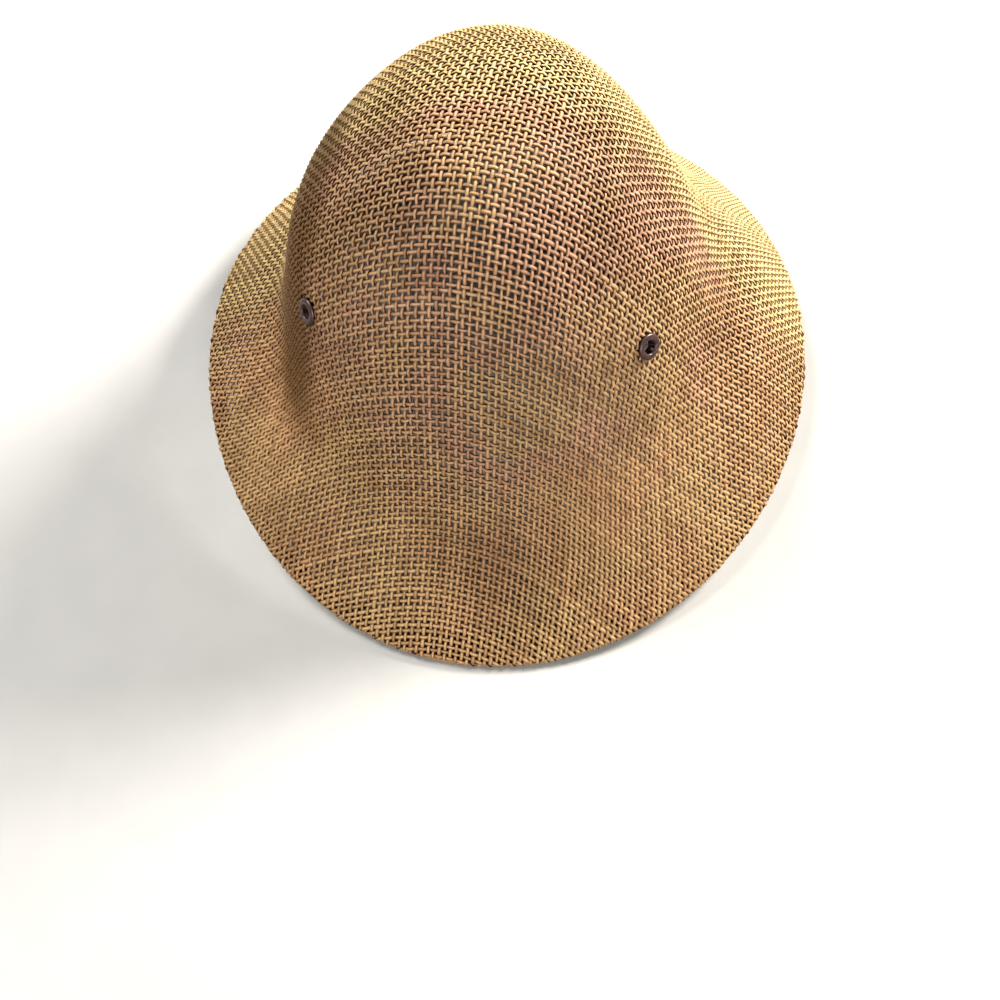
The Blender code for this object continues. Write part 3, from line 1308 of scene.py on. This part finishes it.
@dataclass
class Eyelet:
    """A rolled eyelet, turned round the axis of its CAD node, with its washer on the inside."""

    seat: EyeletSeat
    steps: int = 64
    corner_steps: int = 5
    roll_share: float = 0.62
    straight_share: float = 0.45
    undercut_share: float = 0.25
    bore_gap: float = 0.0001
    crest_gap: float = 0.00004
    chamfer: float = 0.00012
    foot: float = 0.0002

    def _arc(self, centre: Pair, radii: Pair, turns: Pair, wear: Pair) -> list[Place]:
        """Corners along an arc of the section.

        Args:
            centre: Radius and level of the arc's centre.
            radii: Its half width and half height.
            turns: Angles at which it starts and ends.
            wear: Wear at its start and at its end.

        Returns:
            Radius, level and wear of each corner.
        """
        angles = np.linspace(*turns, self.corner_steps + 1)
        return list(zip(centre[0] + radii[0] * np.cos(angles), centre[1] + radii[1] * np.sin(angles),
                        np.linspace(*wear, self.corner_steps + 1)))

    def _profile(self) -> Array:
        """Closed outline of the eyelet's section, clockwise from the bore's lower end.

        Returns:
            Radius, level and wear of each corner.
        """
        seat = self.seat
        rise = seat.top - seat.seat
        roll = rise * self.roll_share
        return np.array([
            (seat.bore, seat.bottom + self.bore_gap, 0.2),
            (seat.bore, seat.seat + rise * self.straight_share, 0.1),
            *self._arc((seat.bore + roll, seat.top - roll), (roll, roll), (math.pi, QUARTER), (0.0, 0.75)),
            *self._arc((seat.flange - rise, seat.seat), (rise, rise - self.crest_gap), (QUARTER, 0.0), (0.6, 0.0)),
            (seat.flange - rise * self.undercut_share, seat.seat, 0.0),
            (seat.barrel, seat.seat, 0.0),
            (seat.barrel, seat.under, 0.0),
            (seat.washer - self.chamfer, seat.under, 0.2),
            (seat.washer, seat.under - self.chamfer, 0.5),
            (seat.washer, seat.bottom + self.chamfer, 0.5),
            (seat.washer - self.chamfer, seat.bottom, 0.3),
            (seat.bore + self.foot, seat.bottom, 0.6),
        ])

    def dress(self, paint: Material) -> Object:
        """Turn the section into the eyelet and tie it to the frame.

        Args:
            paint: Finish of the eyelet.

        Returns:
            The eyelet.
        """
        profile = self._profile()
        radii, levels, wear = profile.T
        axes = np.array(Vector(self.seat.axis).to_track_quat("Z", "Y").to_matrix())
        angles = round_angles(self.steps)
        local = np.stack([np.outer(np.cos(angles), radii), np.outer(np.sin(angles), radii),
                          np.tile(levels, (self.steps, 1))], -1)
        points = (local @ axes.T + self.seat.centre).reshape(-1, 3)
        numbers = np.arange(len(points)).reshape(self.steps, len(profile))
        beside, after = np.roll(numbers, -1, 0), np.roll(numbers, -1, 1)
        faces = np.stack([numbers, after, np.roll(beside, -1, 1), beside], -1).reshape(-1, 4)
        name = f"{self.seat.node}_rolled"
        mesh = bpy.data.meshes.new(name)
        mesh.from_pydata(points.tolist(), [], faces.tolist())
        mesh.update()
        mesh.shade_smooth()
        add_attribute(mesh, "wear", np.tile(wear, self.steps))
        mesh.materials.append(paint)
        piece = add_object(name, mesh)
        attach(piece, BODY)
        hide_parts(self.seat.node)
        return piece


@dataclass(frozen=True)
class SoftLight:
    """A large soft light that faces the helmet."""

    name: str
    place: Place
    size: float
    power: float
    colour: Colour = (1.0, 1.0, 1.0)
    aim: Place = (0.0, 0.0, 0.07)

    def build(self) -> None:
        """Add the light to the scene."""
        data = bpy.data.lights.new(self.name, "AREA")
        data.shape = "DISK"
        data.size = self.size
        data.energy = self.power
        data.color = self.colour
        light = add_object(self.name, data)
        turn = (Vector(self.aim) - Vector(self.place)).to_track_quat("-Z", "Y")
        light.matrix_world = Matrix.Translation(self.place) @ turn.to_matrix().to_4x4()


@dataclass
class Studio:
    """Pale floor, soft lights, white surroundings and the camera."""

    floor_radius: float = 1.5
    floor_corners: int = 96
    sky: Colour = (1.0, 1.0, 1.0)
    sky_strength: float = 1.0
    camera_place: Place = (-0.06105, 0.24896, 0.45341)
    camera_right: Place = (-0.98993, -0.11909, -0.07657)
    camera_down: Place = (-0.08216, 0.92365, -0.37432)
    focal_length: float = 38.48
    sensor: float = 36.0
    nearest: float = 0.01
    lights: tuple[SoftLight, ...] = (
        SoftLight("key_light", (-1.1, -0.9, 0.85), 0.5, 52.0, (1.0, 0.97, 0.92)),
        SoftLight("back_light", (-0.35, 1.40, 0.95), 0.9, 22.0),
        SoftLight("left_light", (0.72, -0.50, 1.20), 0.7, 19.0),
    )

    def build(self) -> None:
        """Set the whole studio up."""
        self._floor()
        self._surroundings()
        for light in self.lights:
            light.build()
        self._camera()

    def _floor(self) -> None:
        """Lay the floor that the helmet rests on."""
        rim = [(self.floor_radius * math.cos(turn), self.floor_radius * math.sin(turn), 0.0)
               for turn in round_angles(self.floor_corners)]
        mesh = bpy.data.meshes.new("floor")
        mesh.from_pydata(rim, [], [tuple(range(self.floor_corners))])
        mesh.materials.append(FloorFinish("studio_floor").build())
        add_object("floor", mesh)

    def _surroundings(self) -> None:
        """Put white surroundings behind the scene, and leave its lighting to the soft lights."""
        world = bpy.data.worlds.new("surroundings")
        world.use_nodes = True
        background = world.node_tree.nodes["Background"]
        background.inputs["Color"].default_value = (*self.sky, 1.0)
        background.inputs["Strength"].default_value = self.sky_strength
        scene = bpy.context.scene
        scene.world = world
        world.cycles_visibility.diffuse = False
        scene.view_settings.view_transform = "Standard"
        scene.view_settings.look = "High Contrast"

    def _camera(self) -> None:
        """Place the camera at the photograph's viewing angle."""
        right = Vector(self.camera_right).normalized()
        up = -Vector(self.camera_down)
        up = (up - right * up.dot(right)).normalized()
        rotation = Matrix((right, up, right.cross(up))).transposed().to_4x4()
        data = bpy.data.cameras.new("camera")
        data.lens = self.focal_length
        data.sensor_width = self.sensor
        data.clip_start = self.nearest
        camera = add_object("camera", data)
        camera.matrix_world = Matrix.Translation(self.camera_place) @ rotation
        bpy.context.scene.camera = camera


def main() -> None:
    """Build the helmet's pieces and the studio."""
    logging.basicConfig(level=logging.INFO, format="%(name)s: %(message)s")
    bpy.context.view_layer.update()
    form = HelmetForm()
    net = FabricNet(form, BrimFold(form))
    seats = tuple(EyeletSeat(name) for name in form.eyelet_nodes)
    pieces = StrawWeave(net, seats).dress(StrawFinish("straw_strands").build(),
                                          StrawFinish("folded_straw_strands", pale=(0.53, 0.44, 0.24)).build())
    paint = EyeletFinish("eyelet_paint").build()
    pieces += [Eyelet(seat).dress(paint) for seat in seats]
    Studio().build()
    for piece in pieces:
        LOG.info("%s: %d faces", piece.name, len(piece.data.polygons))


if __name__ == "__main__":
    main()
